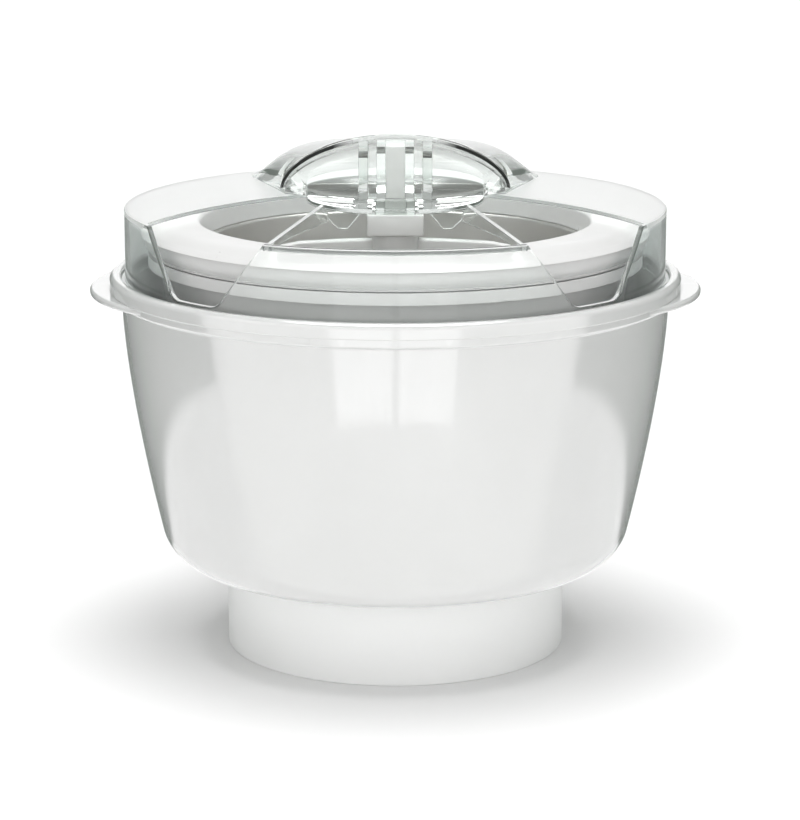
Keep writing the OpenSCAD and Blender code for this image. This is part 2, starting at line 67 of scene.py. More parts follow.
# ---------------------------------------------------------------- numbers and outlines

def sine(a):
    return math.sin(math.radians(a))


def cosine(a):
    return math.cos(math.radians(a))


def span(a, b, n):
    """Numbers from a to b in n equal steps, with both ends."""
    return [a + (b - a) * i / n for i in range(n + 1)]


def arc(cx, cy, r, start, end, n=10):
    """Points on an arc, with angles in degrees from the first axis."""
    return [(cx + r * cosine(a), cy + r * sine(a)) for a in span(start, end, n)]


def unrounded(points):
    """Points as corners for rounded() that stay as they are."""
    return [(x, y, 0) for x, y in points]


def rounded(corners, seg=5):
    """Corners (x, y, radius) as a closed outline with round corners.

    Each arc has a point just before and after it, so that flat stretches stay flat in smooth shading."""
    straight, most, guard, room = math.radians(89), 0.48, 0.2, 0.5
    out, n = [], len(corners)
    for i, (x, y, r) in enumerate(corners):
        p = Vector((x, y))
        if r <= 0:
            out.append((x, y))
            continue
        a, b = Vector(corners[i - 1][:2]), Vector(corners[(i + 1) % n][:2])
        u, v = (a - p).normalized(), (b - p).normalized()
        half = u.angle(v) / 2
        if half > straight:
            out.append((x, y))
            continue
        d = min(r / math.tan(half), most * (a - p).length, most * (b - p).length)
        c = p + (u + v).normalized() * (d / math.cos(half))
        s, e = p + u * d - c, p + v * d - c
        t0 = math.atan2(s.y, s.x)
        turn = (math.atan2(e.y, e.x) - t0 + math.pi) % (2 * math.pi) - math.pi
        if (a - p).length > d + room:
            out.append(tuple(p + u * (d + guard)))
        for k in range(seg + 1):
            t = t0 + turn * k / seg
            out.append((c.x + s.length * math.cos(t), c.y + s.length * math.sin(t)))
        if (b - p).length > d + room:
            out.append(tuple(p + v * (d + guard)))
    return out


# ---------------------------------------------------------------- meshes

def smooth(mesh, sharp):
    """Smooth shading, except at edges sharper than the angle."""
    mesh.polygons.foreach_set("use_smooth", [True] * len(mesh.polygons))
    mesh.set_sharp_from_angle(angle=math.radians(sharp))


def finish_mesh(name, bm, sharp=40):
    """A bmesh in millimetres as an object in metres."""
    bmesh.ops.remove_doubles(bm, verts=bm.verts, dist=0.0005)
    bmesh.ops.recalc_face_normals(bm, faces=bm.faces)
    bmesh.ops.scale(bm, vec=(MM, MM, MM), verts=bm.verts)
    mesh = bpy.data.meshes.new(name)
    bm.to_mesh(mesh)
    bm.free()
    smooth(mesh, sharp)
    obj = bpy.data.objects.new(name, mesh)
    bpy.context.scene.collection.objects.link(obj)
    return obj


def skin(bm, rows, ring=False, skip=()):
    """Faces between neighbouring rows of points, and over the first and last row unless the rows make a ring.

    No faces start at the places in a row that skip names."""
    n = len(rows[0])
    for p, q in zip(rows, rows[1:] + rows[:1] if ring else rows[1:]):
        for i in range(n):
            if i not in skip:
                j = (i + 1) % n
                bm.faces.new((p[i], p[j], q[j], q[i]))
    if not ring:
        bm.faces.new(rows[0])
        bm.faces.new(list(reversed(rows[-1])))


def lathe(name, outline, steps=256):
    """Turns a closed outline of (radius, height) about the axis."""
    bm = bmesh.new()
    rings = []
    for k in range(steps):
        c, s = math.cos(2 * math.pi * k / steps), math.sin(2 * math.pi * k / steps)
        rings.append([bm.verts.new((r * c, r * s, z)) for r, z in outline])
    on_axis = [r < 1e-6 for r, _ in outline]
    skip = [i for i in range(len(outline)) if on_axis[i] and on_axis[(i + 1) % len(outline)]]
    skin(bm, rings, True, skip)
    return finish_mesh(name, bm)


def sweep(name, angles, section, ring=False):
    """A ring or part of one: section(angle) gives (radius, height) points, always as many."""
    bm = bmesh.new()
    rows = []
    for a in angles:
        s, c = sine(a), cosine(a)
        rows.append([bm.verts.new((r * s, -r * c, z)) for r, z in section(a)])
    skin(bm, rows, ring)
    return finish_mesh(name, bm)


def bar(name, low, high, turn=0.0, bevel=0.3):
    """A block between two corners with rounded edges, turned about the axis by an angle from +X."""
    bm = bmesh.new()
    bmesh.ops.create_cube(bm, size=1)
    for v in bm.verts:
        v.co = Vector([low[i] if v.co[i] < 0 else high[i] for i in range(3)])
    bmesh.ops.bevel(bm, geom=bm.edges[:], offset=bevel, segments=2, profile=0.5, affect="EDGES")
    s, c = sine(turn), cosine(turn)
    for v in bm.verts:
        x, y = v.co.x, v.co.y
        v.co.x, v.co.y = x * c - y * s, x * s + y * c
    return finish_mesh(name, bm)


def applied(obj):
    """The object's mesh with its modifiers applied."""
    deps = bpy.context.evaluated_depsgraph_get()
    return bpy.data.meshes.new_from_object(obj.evaluated_get(deps))


def plate(name, outlines, thick, bevel, place, res):
    """A flat plate of the given outlines, holes included, with rounded edges.

    place(x, y, w) puts a point of the plate in the model, with w from the plate's middle plane."""
    curve = bpy.data.curves.new(name, "CURVE")
    curve.dimensions = "2D"
    curve.fill_mode = "BOTH"
    curve.extrude = (thick / 2 - bevel) * MM
    curve.bevel_depth = bevel * MM
    curve.bevel_resolution = res
    curve.offset = -bevel * MM
    for outline in outlines:
        spline = curve.splines.new("POLY")
        spline.points.add(len(outline) - 1)
        for p, (x, y) in zip(spline.points, outline):
            p.co = (x * MM, y * MM, 0, 1)
        spline.use_cyclic_u = True
    flat = bpy.data.objects.new(name + "_curve", curve)
    bpy.context.scene.collection.objects.link(flat)
    bpy.context.view_layer.update()
    mesh = applied(flat)
    bpy.data.objects.remove(flat, do_unlink=True)
    bm = bmesh.new()
    bm.from_mesh(mesh)
    bpy.data.meshes.remove(mesh)
    bmesh.ops.scale(bm, vec=(1 / MM,) * 3, verts=bm.verts)
    bmesh.ops.remove_doubles(bm, verts=bm.verts, dist=0.001)
    bmesh.ops.dissolve_degenerate(bm, edges=bm.edges, dist=0.0005)
    for v in bm.verts:
        v.co = Vector(place(v.co.x, v.co.y, v.co.z))
    return finish_mesh(name, bm, 35)


def upright(y0):
    """Places a plate standing across the model at y0: its x and y are the model's x and z."""
    return lambda x, y, w: (x, y0 + w, y)


def side_on(x0):
    """Places a plate standing along the model at x0: its x and y are the model's y and z."""
    return lambda x, y, w: (x0 + w, x, y)


def lying(z0):
    """Places a plate lying at z0."""
    return lambda x, y, w: (x, y, z0 + w)


def cut_or_join(base, others, operation):
    """Boolean of base with the others, which are used up."""
    for other in others:
        mod = base.modifiers.new("b", "BOOLEAN")
        mod.operation = operation
        mod.solver = "EXACT"
        mod.object = other
        bpy.context.view_layer.update()
        mesh = applied(base)
        base.modifiers.clear()
        old = base.data
        base.data = mesh
        bpy.data.meshes.remove(old)
        bpy.data.objects.remove(other, do_unlink=True)
    smooth(base.data, 35)


# ---------------------------------------------------------------- materials

class Tree:
    """A short way to write a node tree."""

    def __init__(self, tree):
        self.tree = tree

    def add(self, kind, **settings):
        node = self.tree.nodes.new(kind)
        for key, value in settings.items():
            setattr(node, key, value)
        return node

    def feed(self, socket, value):
        """Sets a socket to a number or colour, or links it to another socket."""
        if isinstance(value, (int, float)):
            socket.default_value = value
        elif isinstance(value, (tuple, list)):
            socket.default_value = (*value, 1)
        else:
            self.tree.links.new(value, socket)

    def axes(self, vector):
        node = self.add("ShaderNodeSeparateXYZ")
        self.feed(node.inputs[0], vector)
        return tuple(node.outputs)

    def math(self, op, *values):
        node = self.add("ShaderNodeMath", operation=op)
        for socket, value in zip(node.inputs, values):
            self.feed(socket, value)
        return node.outputs[0]

    def product(self, value, *others):
        for other in others:
            value = self.math("MULTIPLY", value, other)
        return value

    def squares(self, a, b):
        return self.math("ADD", self.product(a, a), self.product(b, b))

    def span(self, value, low, high, from_low=0.3, from_high=0.7, kind="LINEAR"):
        """A value between from_low and from_high as one between low and high."""
        node = self.add("ShaderNodeMapRange", interpolation_type=kind)
        for key, number in (("From Min", from_low), ("From Max", from_high), ("To Min", low), ("To Max", high)):
            node.inputs[key].default_value = number
        self.feed(node.inputs["Value"], value)
        return node.outputs["Result"]

    def above(self, value, low, high):
        """A mask that goes from 0 at low to 1 at high."""
        return self.span(value, 0, 1, low, high)

    def below(self, value, low, high):
        """A mask that goes from 1 at low to 0 at high."""
        return self.span(value, 1, 0, low, high)

    def band(self, value, low, high, soft):
        """A mask that is 1 between low and high, with soft edges."""
        return self.product(self.span(value, 0, 1, low - soft, low + soft, "SMOOTHSTEP"),
                            self.span(value, 1, 0, high - soft, high + soft, "SMOOTHSTEP"))

    def blend(self, mask, a, b):
        """Colour a where the mask is 0, b where it is 1."""
        node = self.add("ShaderNodeMix", data_type="RGBA")
        for index, value in ((0, mask), (6, a), (7, b)):
            self.feed(node.inputs[index], value)
        return node.outputs[2]

    def layers(self, colour, *layers):
        """A colour with each (mask, colour) laid over it in turn."""
        for mask, shade in layers:
            colour = self.blend(mask, colour, shade)
        return colour


class Surface(Tree):
    """A material's node tree around its Principled shader."""

    def __init__(self, name):
        self.mat = bpy.data.materials.new(name)
        self.mat.use_nodes = True
        super().__init__(self.mat.node_tree)
        self.bsdf = self.tree.nodes["Principled BSDF"]
        self.coord = self.add("ShaderNodeTexCoord").outputs["Object"]

    def noise(self, scale, detail=3.0, rough=0.5, stretch=None):
        source = self.coord
        if stretch:
            mapping = self.add("ShaderNodeMapping")
            mapping.inputs["Scale"].default_value = stretch
            self.feed(mapping.inputs["Vector"], source)
            source = mapping.outputs["Vector"]
        node = self.add("ShaderNodeTexNoise")
        for key, value in (("Vector", source), ("Scale", scale), ("Detail", detail), ("Roughness", rough)):
            self.feed(node.inputs[key], value)
        return node.outputs["Fac"]

    def mottled(self, scale, detail, a, b):
        """Two colours in soft blotches."""
        return self.blend(self.span(self.noise(scale, detail), 0, 1), a, b)

    def bump(self, height, strength, distance):
        node = self.add("ShaderNodeBump")
        for key, value in (("Height", height), ("Strength", strength), ("Distance", distance)):
            self.feed(node.inputs[key], value)
        self.set(Normal=node.outputs["Normal"])

    def set(self, **values):
        """Feeds sockets of the shader."""
        for key, value in values.items():
            self.feed(self.bsdf.inputs[key.replace("_", " ")], value)


def moulded(name, low, high, rough, grain, bump, ior=1.5, coat=0.0, matte_and_lightened_below=None):
    """Moulded plastic or rubber: faint mottling, uneven gloss, a fine skin and slightly worn edges.

    Under the given height it has no gloss, and its colour is painted paler: painted light that lifts the shade the bowl
    casts on its neck."""
    n = Surface(name)
    worn = n.span(n.add("ShaderNodeNewGeometry").outputs["Pointiness"], 0, 0.5, 0.52, 0.60)
    colour = n.blend(worn, n.mottled(14, 4, low, high), [min(1, c * 1.06) for c in high])
    dulled = n.span(n.noise(45, 5, 0.6), rough * 0.85, rough * 1.2)
    n.bump(n.noise(grain, 2), bump, 0.0002)
    n.set(IOR=ior, Coat_Weight=coat, Coat_Roughness=0.05, Coat_IOR=2.0)
    if matte_and_lightened_below:
        matte_and_lightened = n.below(n.axes(n.coord)[2], matte_and_lightened_below - 0.001, matte_and_lightened_below + 0.001)
        # painted light: the colour is made paler here to lift the shade the bowl casts on its neck
        colour = n.blend(matte_and_lightened, colour, (0.87, 0.875, 0.87))
        dulled = n.math("ADD", dulled, n.product(matte_and_lightened, 0.5))
        n.set(Coat_Weight=n.math("SUBTRACT", coat, n.product(matte_and_lightened, coat)))
    n.set(Base_Color=colour, Roughness=dulled)
    return n.mat


def metal(name, colour, rough, brush=(60, 60, 1800), bump=0.05):
    """Metal with fine turning or brushing marks and a little dulling."""
    n = Surface(name)
    lines = n.noise(1, 3, 0.6, stretch=brush)
    n.bump(lines, bump, 0.0002)
    n.set(Base_Color=n.mottled(25, 5, [c * 0.93 for c in colour], colour),
          Roughness=n.span(lines, rough * 0.8, rough * 1.25), Metallic=1.0)
    return n.mat


def clear(name):
    """Clear moulded plastic: faint flow marks and hazy rubs, satin on top of the wings and hood, and painted shade:
    greyer sides, webs and lips and black lines on edges, for the shade and refraction seen in it.

    Light passes straight through it to what is under it, and so do paths that have been inside it for long."""
    tint, rough, haze, cloud = (0.965, 0.98, 0.973), 0.012, 0.34, 0.62
    n = Surface(name)
    x, y, z = n.axes(n.coord)
    _, facing_back, facing_up = n.axes(n.add("ShaderNodeNewGeometry").outputs["Normal"])
    wide = n.math("ABSOLUTE", x)
    reach = n.math("SQRT", n.squares(x, y))
    away = n.math("SQRT", n.squares(x, n.math("SUBTRACT", y, DISC_Y * MM)))
    off_disc = n.above(away, 0.0395, 0.0405)

    satin = n.product(n.above(facing_up, 0.5, 0.8), n.math("MAXIMUM", off_disc, n.above(z, 0.198, 0.199)))
    # painted shade: the wall at the far sides is made greyer, for the gap's shade seen through it at a grazing angle
    lid_sides_painted_shade = n.product(n.above(wide, 0.078, 0.098), n.below(z, 0.186, 0.188))
    # painted shade: the webs' faces under the handle are made greyer
    webs_painted_shade = n.product(n.above(z, 0.1905, 0.191), n.above(wide, 0.0112, 0.0114), n.below(wide, 0.0154, 0.0156))
    # painted shade: a dark line along the plate's front-facing edges, where refraction shows dark
    plate_edge_painted_shade = n.product(n.above(z, 0.1880, 0.1883), n.below(z, 0.1905, 0.1907),
                           n.below(facing_back, -0.5, -0.25), off_disc)
    # painted shade: the disc's front-facing lip is made greyer, where refraction shows dark
    disc_lips_painted_shade = n.product(n.below(z, 0.1942, 0.1945), n.below(facing_back, -0.5, -0.3),
                          n.above(away, 0.0368, 0.0374), n.below(away, 0.0395, 0.0405))
    # painted shade: a black line inside the front wall's top edge, where refraction shows dark
    bead_painted_dark_line = n.product(n.below(y, -0.099, -0.097), n.below(wide, 0.0515, 0.0525), n.above(z, 0.1887, 0.1890),
                          n.above(reach, 0.1115, 0.1117), n.below(reach, 0.1129, 0.1131))

    # painted shade: the next lines find the hood's front edge, for a black line painted along it where refraction shows
    # dark
    along = n.math("DIVIDE", n.math("SUBTRACT", HOOD_Y * MM, y), HOOD_DEPTH * MM)
    rise = n.math("POWER", n.math("MAXIMUM", along, 0.0), HOOD_CURVE)
    crest = n.math("ADD", n.product(rise, HOOD_RISE * MM), (HOOD_LOW - 1.4) * MM)
    off_crest = n.math("ABSOLUTE", n.math("SUBTRACT", z, crest))
    ellipse = n.squares(along, n.math("DIVIDE", x, HOOD_HALF * MM))
    arch_painted_dark_line = n.product(n.above(ellipse, 0.93, 0.95), n.below(off_crest, 0.0006, 0.0009),
                     n.above(wide, 0.014, 0.026), n.above(z, 0.1925, 0.193))

    # painted shade: the grey and black layers stand in for shade and refraction seen in the clear plastic; the satin
    # layer is its frosted tops
    colour = n.layers(
        n.mottled(9, 3, tint, [min(1, t + 0.008) for t in tint]),
        (lid_sides_painted_shade, (0.62, 0.65, 0.64)), (webs_painted_shade, (0.86, 0.885, 0.87)), (plate_edge_painted_shade, (0.30, 0.32, 0.31)),
        (disc_lips_painted_shade, (0.70, 0.73, 0.71)), (satin, (0.78, 0.785, 0.78)), (arch_painted_dark_line, (0.04, 0.042, 0.04)),
        (bead_painted_dark_line, (0.03, 0.032, 0.03)))
    rubs = n.span(n.noise(60, 6, 0.7), rough * 0.4, rough * 2.2)
    # the painted dark lines: no transmission and no gloss where the arch and bead lines are painted
    dark = n.math("MAXIMUM", bead_painted_dark_line, arch_painted_dark_line)
    solid = n.math("MAXIMUM", n.product(satin, cloud), dark)
    n.bump(n.noise(22, 2), 0.02, 0.0004)
    n.set(IOR=1.45, Base_Color=colour, Roughness=n.math("ADD", rubs, n.product(satin, haze)),
          Transmission_Weight=n.math("SUBTRACT", 1.0, solid),
          Specular_IOR_Level=n.math("SUBTRACT", 0.5, n.product(dark, 0.5)))

    path = n.add("ShaderNodeLightPath").outputs
    through = n.add("ShaderNodeBsdfTransparent")
    n.feed(through.inputs["Color"], n.blend(path["Is Shadow Ray"], (0.965, 0.975, 0.97), (0.91, 0.925, 0.92)))
    passes = n.math("MAXIMUM", path["Is Shadow Ray"], n.math("GREATER_THAN", path["Ray Depth"], 3.5))
    mix = n.add("ShaderNodeMixShader")
    for socket, value in zip(mix.inputs, (passes, n.bsdf.outputs[0], through.outputs[0])):
        n.feed(socket, value)
    n.feed(n.tree.nodes["Material Output"].inputs["Surface"], mix.outputs[0])
    return n.mat


def coolant():
    """The pale blue filling between the liner and the bowl's wall."""
    n = Surface("coolant")
    n.bump(n.noise(260, 3), 0.15, 0.0004)
    n.set(Base_Color=n.mottled(30, 5, (0.22, 0.46, 0.66), (0.40, 0.64, 0.80)),
          Roughness=n.span(n.noise(120, 4), 0.10, 0.3), IOR=1.36, Subsurface_Weight=0.15, Subsurface_Scale=0.01)
    return n.mat


BY_SLOT = {
    "white_gloss": moulded("white_gloss", (0.66, 0.665, 0.66), (0.69, 0.695, 0.69), 0.10, 700, 0.02,
                           ior=1.7, coat=1.0, matte_and_lightened_below=0.039),
    "white_satin": moulded("white_satin", (0.67, 0.67, 0.665), (0.70, 0.70, 0.695), 0.32, 1100, 0.05),
    "dasher_plastic": moulded("dasher_plastic", (0.72, 0.725, 0.715), (0.75, 0.755, 0.745), 0.34, 1400, 0.08),
    "clear_plastic": clear("clear_plastic"),
    "liner_metal": metal("liner_metal", (0.72, 0.71, 0.69), 0.34, (40, 40, 300), 0.008),
    "steel": metal("steel", (0.62, 0.63, 0.64), 0.24),
    "bronze_bush": metal("bronze_bush", (0.58, 0.43, 0.24), 0.42, (500, 500, 500), 0.12),
    "drive_plastic": moulded("drive_plastic", (0.70, 0.70, 0.68), (0.76, 0.76, 0.74), 0.42, 1600, 0.10),
    "grey_plastic": moulded("grey_plastic", (0.52, 0.53, 0.54), (0.58, 0.59, 0.60), 0.40, 1500, 0.10),
    "dark_rubber": moulded("dark_rubber", (0.018, 0.018, 0.018), (0.03, 0.03, 0.03), 0.62, 2200, 0.18),
    "grey_rubber": moulded("grey_rubber", (0.26, 0.27, 0.28), (0.32, 0.33, 0.34), 0.58, 2200, 0.16),
    "coolant": coolant(),
}
for row in frame["record"]["subparts"]:
    node = frame["nodes"].get(row["node"])
    if node is None:
        continue
    if not node.material_slots:
        node.data.materials.append(BY_SLOT[row["material_slot"]])
    for s in node.material_slots:
        s.material = BY_SLOT[row["material_slot"]]


def piece(obj, body, slot, *nodes):
    """Gives a finished mesh even shading and its slot's material, and puts it on its body in place of CAD nodes."""
    mod = obj.modifiers.new("normals", "WEIGHTED_NORMAL")
    mod.keep_sharp = True
    mod.weight = 60
    obj.data.materials.clear()
    obj.data.materials.append(BY_SLOT[slot])
    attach(obj, body)
    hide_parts(*nodes)


# ---------------------------------------------------------------- outer bowl

WALL_R, WALL_IN, WALL_TOP, WALL_LOW = 116, 15.6, 150, 52      # the wall narrows by WALL_IN from top to low end
EAR_R, EAR_OUT, EAR_HALF = 81, 48.5, 36                       # an ear's edge is a circle about a point EAR_OUT away
KEYS = (70, 110)                                              # where the lid's keys go in, as angles from +X


def wall_r(z):
    """Outer radius of the bowl's wall at a height."""
    return WALL_R - WALL_IN * max(0, (WALL_TOP - z) / (WALL_TOP - WALL_LOW)) ** 1.47


def ear(a):
    """Cross-section of an ear at an angle from its middle."""
    reach = EAR_OUT * cosine(a) + math.sqrt(EAR_R ** 2 - (EAR_OUT * sine(a)) ** 2)
    edge = max(reach, 118.7)
    return rounded([(117.5, 153.2, 0), (edge, 153.2, 1.0), (edge, 155.95, 1.2), (117.5, 155.95, 0)], 4)


def pad(_):
    """Cross-section of the thickened rim at the front."""
    return rounded([(117.5, 152.6, 0), (120.2, 152.6, 0.5), (120.5, 156.1, 0), (117.5, 156.1, 0)], 3)


def outer_bowl():
    turn, thick = 19, 3
    cx, cz = wall_r(WALL_LOW) - turn * cosine(13), WALL_LOW + turn * sine(13)
    corners = [(69.5, 0, 0.5), (72.5, 0, 0.7), (72.5, cz - turn, 3.2)]
    corners += unrounded(arc(cx, cz, turn, -90, -13, 26))
    corners += [(wall_r(z), z, 0) for z in span(54, 149.4, 36)]
    corners += [(116.05, 151.6, 0.9), (119.3, 152.0, 1.5), (119.3, 155.8, 0.35), (121, 155.8, 0.5), (121, 162.2, 2.2)]
    corners += [(116.3, 162.2, 1.2), (116.3, 157.5, 0.5), (113.2, 157.5, 0.5)]
    corners += [(wall_r(z) - thick, z, 0) for z in span(WALL_TOP, 54, 24)]
    corners += unrounded(arc(cx, cz, turn - thick, -13, -90, 18))
    corners += [(15, 41, 1.5), (15, 50, 0.6), (9, 50, 0.2), (9, 27, 0.2), (15, 27, 0.5), (15, 38, 0.8), (69.5, 38, 1.5)]
    bowl = lathe("outer_bowl_body", rounded(corners), 288)
    add = []
    for middle in (90, -90):
        around = span(middle - EAR_HALF, middle + EAR_HALF, 120)
        add.append(sweep("ear", around, lambda a, middle=middle: ear(a - middle)))
    add.append(sweep("pad", span(-16, 16, 48), pad))
    add += [bar("rib", (14, -1, 30), (70.5, 1, 39), 30 + 60 * k) for k in range(6)]
    add += [bar("grip", (66.5, -4, 8), (70, 4, 20), 90 + 120 * k, 0.6) for k in range(3)]
    cut_or_join(bowl, add, "UNION")
    cut_or_join(bowl, [bar("slot", (114.3, -5.3, 157.52), (118.9, 5.3, 170), a, 0.4) for a in KEYS], "DIFFERENCE")
    piece(bowl, "bowl_body", "white_gloss", "outer_bowl")


# ---------------------------------------------------------------- freezer bowl

LINER_ROUND = (56, 92)      # middle of the round between the liner's floor and wall


def liner_r(z):
    """Inner radius of the liner's wall at a height."""
    return 72 + 8.1 * (z - 92) / 82.6


def freezer_bowl():
    ring = arc(99.5, 178.0, 6.8, -62, 38, 18)
    corners = [(104.9, 172.0, 0.4)] + [(x, z, 0) for x, z in ring if z > 172.6]
    corners += unrounded(arc(95.6, 167.8, 17, 46, 84, 12))
    corners += [(95.8, 184.8, 0.3), (82.6, 184.8, 2.3), (81.4, 174.7, 0.3), (83.5, 174.7, 0.3), (84.8, 182.2, 0)]
    corners += [(94, 182.2, 0), (100.1, 180.3, 0), (100.7, 172.4, 0), (101, 172, 0)]
    piece(lathe("freezer_ring", rounded(corners), 288), "freezer_bowl", "white_satin", "freezer_rim_ring")

    inside = [(0, 81, 0), (2.5, 81, 1.5), (7, 76, 1.5)] + unrounded(arc(*LINER_ROUND, 16, -90, 0, 20))
    inside += [(80.1, 174.6, 1.2), (98.5, 174.6, 0.2), (98.5, 173.1, 0.2), (81.6, 173.1, 0.5)]
    outside = unrounded(arc(*LINER_ROUND, 17.5, 0, -90, 20)) + [(8, 74.5, 1), (2.6, 79.5, 1), (0, 79.5, 0)]
    piece(lathe("freezer_liner_bowl", rounded(inside + outside)), "freezer_bowl", "liner_metal", "freezer_liner")


# ---------------------------------------------------------------- dasher

DASHER_GAP = 1.2      # between the dasher's edge and the liner


def window(low, high, slope, side):
    """An opening in the paddle between two heights, narrower by slope at its top."""
    r, inner = 5, 17
    wide_low, wide_high = liner_r(low + 8) - 17, liner_r(high) - 17 - slope
    outline = arc(inner, low + r, r, 180, 270, 6) + arc(wide_low, low + r, r, 270, 360, 6)
    outline += arc(wide_high, high - r, r, 0, 90, 6) + arc(inner, high - r, r, 90, 180, 6)
    return [(side * x, z) for x, z in outline]


def scraper(side):
    """A blade along the paddle's edge, turned to the liner."""
    turn = 38
    blade = rounded([(-5, -1.5, 0.6), (4, -1.5, 0.5), (4, 1.5, 0.5), (-5, 1.5, 0.6)], 3)
    bm = bmesh.new()
    rows = []
    for z in span(96, 149, 12):
        x0 = liner_r(z) - DASHER_GAP - 7.6
        points = [(x0 + u * cosine(turn) - v * sine(turn), u * sine(turn) + v * cosine(turn)) for u, v in blade]
        rows.append([bm.verts.new((side * x, side * y, z)) for x, y in points])
    skin(bm, rows)
    return finish_mesh("scraper", bm)


def dasher():
    half = [(10, 77.2)] + arc(*LINER_ROUND, 16 - DASHER_GAP, -90, 0, 16)
    half += [(liner_r(z) - DASHER_GAP, z) for z in (120, 150)]
    half += arc(62, 157, 13.5, 0, 62, 10) + arc(40, 166, 8, 70, 88, 4) + [(20, 175.1)]
    outline = half + [(0, 175.5)] + [(-x, z) for x, z in reversed(half)] + [(-10, 85), (10, 85)]
    windows = [window(*spot, side) for spot in ((88, 118, 0), (126, 157, 6)) for side in (1, -1)]
    body = plate("dasher_paddle", [outline] + windows, 5, 1.0, upright(0), 4)
    add = [lathe("stem", rounded([(0, 84, 0), (10, 84, 1), (10, 179, 0), (0, 179, 0)]), 96),
           bar("block", (-12, -12, 178), (12, 12, 187.3), 0, 1.0),
           bar("post", (-4, -4, 180), (4, 4, 215.2), 0, 0.5),
           scraper(1), scraper(-1)]
    cut_or_join(body, add, "UNION")
    seat = lathe("seat", [(0, 70), (10.5, 70), (10.2, 76), (3.2, 84.4), (0, 84.4)], 96)
    cut_or_join(body, [seat], "DIFFERENCE")
    piece(body, "dasher_body", "dasher_plastic", "dasher")


# ---------------------------------------------------------------- lid

NOTCH = [(-35.2, LID_TOP)] + arc(-9.1, 170.8, 8, 219, 270, 10) + arc(8.75, 170.8, 8, 270, 324, 10) + [(33.0, LID_TOP)]


def wall_top(a):
    """Height of the lid's wall at an angle: it dips at a notch 45 degrees to each side of the front."""
    u = LID_R * sine(abs(a) - 45)
    if abs(a) > 90 or not NOTCH[0][0] < u < NOTCH[-1][0]:
        return LID_TOP
    for (u0, z0), (u1, z1) in zip(NOTCH, NOTCH[1:]):
        if u <= u1:
            return z0 + (z1 - z0) * (u - u0) / (u1 - u0)
    return LID_TOP


def lid_section(a):
    inner, foot_r, foot_top, top = LID_R - LID_WALL, 115.9, FOOT_Z + 2.4, wall_top(a)
    return rounded([(inner, FOOT_Z, 0.3), (foot_r, FOOT_Z, 0.4), (foot_r, foot_top, 0.4), (LID_R, foot_top, 0.4),
                    (LID_R, top, 1.0), (inner, top, 1.0)], 4)


def lid_wall():
    half = span(0, 26, 26) + span(26.2, 27.0, 4) + span(27.1, 63, 180) + span(64, 179, 115)
    return sweep("lid_clear_cover", [-a for a in reversed(half[1:])] + half + [180], lid_section, ring=True)


def wing_outline():
    """The top plate: all of the lid but the opening between two arcs, which meet behind the handle."""
    r, cx, cy, big = LID_R - 0.6, 51, -105, 162
    tip = next(a for a in span(40, 90, 2000) if math.hypot(r * sine(a) + cx, -r * cosine(a) - cy) > big)
    start = math.degrees(math.atan2(-r * cosine(tip) - cy, r * sine(tip) + cx))
    end = math.degrees(math.atan2(math.sqrt(big ** 2 - cx ** 2), cx))
    right = arc(-cx, cy, big, start, end, 40)
    left = [(-x, y) for x, y in reversed(right)][1:]
    around = [(r * sine(a), -r * cosine(a)) for a in span(-tip, -360 + tip, 200)][1:-1]
    return right + left + around


def spoke(side):
    """A thin rib under the plate, from the disc to the wall."""
    x0, y0, x1, y1 = 29.8, 3, 49.4, -97
    length = math.hypot(x1 - x0, y1 - y0)
    dx, dy = (x1 - x0) / length, (y1 - y0) / length
    top = LID_TOP - 0.05

    def place(u, v, w):
        x, y = x0 + dx * (u - 2) - dy * w, y0 + dy * (u - 2) + dx * w
        return side * x, y, v
    outline = [(0, 181.5), (12, 182.5), (length * 0.62, 186), (length + 4, 187.2), (length + 4, top), (0, top)]
    return plate("spoke", [outline], 2, 0.3, place, 2)


def hub():
    """The disc in the middle of the lid."""
    disc = lathe("hub", rounded([(0, LID_TOP, 0), (DISC_R, LID_TOP, 0.9), (DISC_R, LID_TOP - 2.2, 0.9),
                                 (0, LID_TOP - 2.2, 0)]), 192)
    for v in disc.data.vertices:
        v.co.y += DISC_Y * MM
    return disc


def bead(_):
    """Cross-section of the bead inside the front wall's top edge."""
    top = LID_TOP - 0.02
    return rounded([(110.5, 187.4, 0.4), (113.6, 187.4, 0), (113.6, top, 0), (110.5, top, 0.5)], 3)


def lid():
    body = lid_wall()
    gusset = [(9.9, LID_TOP - 1.5), (20.4, 176.1), (24.6, 176.1), (37.5, LID_TOP - 1.5)]
    add = [plate("wings", [wing_outline()], LID_WALL, 0.95, lying(LID_TOP - LID_WALL / 2), 5), hub(),
           sweep("bead", span(-27.2, 27.2, 60), bead), spoke(1), spoke(-1)]
    add += [plate("gusset", [[(side * x, z) for x, z in gusset]], 2, 0.5, upright(20), 3) for side in (1, -1)]
    add += [bar("key", (113.4, -5, FOOT_Z), (117.8, 5, FOOT_Z + 3.6), a, 0.4) for a in KEYS]
    cut_or_join(body, add, "UNION")
    hole = bar("hole", (-STEM_HALF, -STEM_HALF, 180), (STEM_HALF, STEM_HALF, 200), 0, 0.2)
    cut_or_join(body, [hole], "DIFFERENCE")
    piece(body, "lid", "clear_plastic", "lid_cover")


# ---------------------------------------------------------------- handle

HOOD_WALL, HOOD_BULGE, HOOD_SHOULDER = 2.4, 2.5, 4.5      # thickness, and how far the roof swells
HOOD_END = 86                                             # the hood's sections stop this far to each side
LIP_END = 66                                              # the lip leaves the disc here
SCOOP_DEPTH = 28


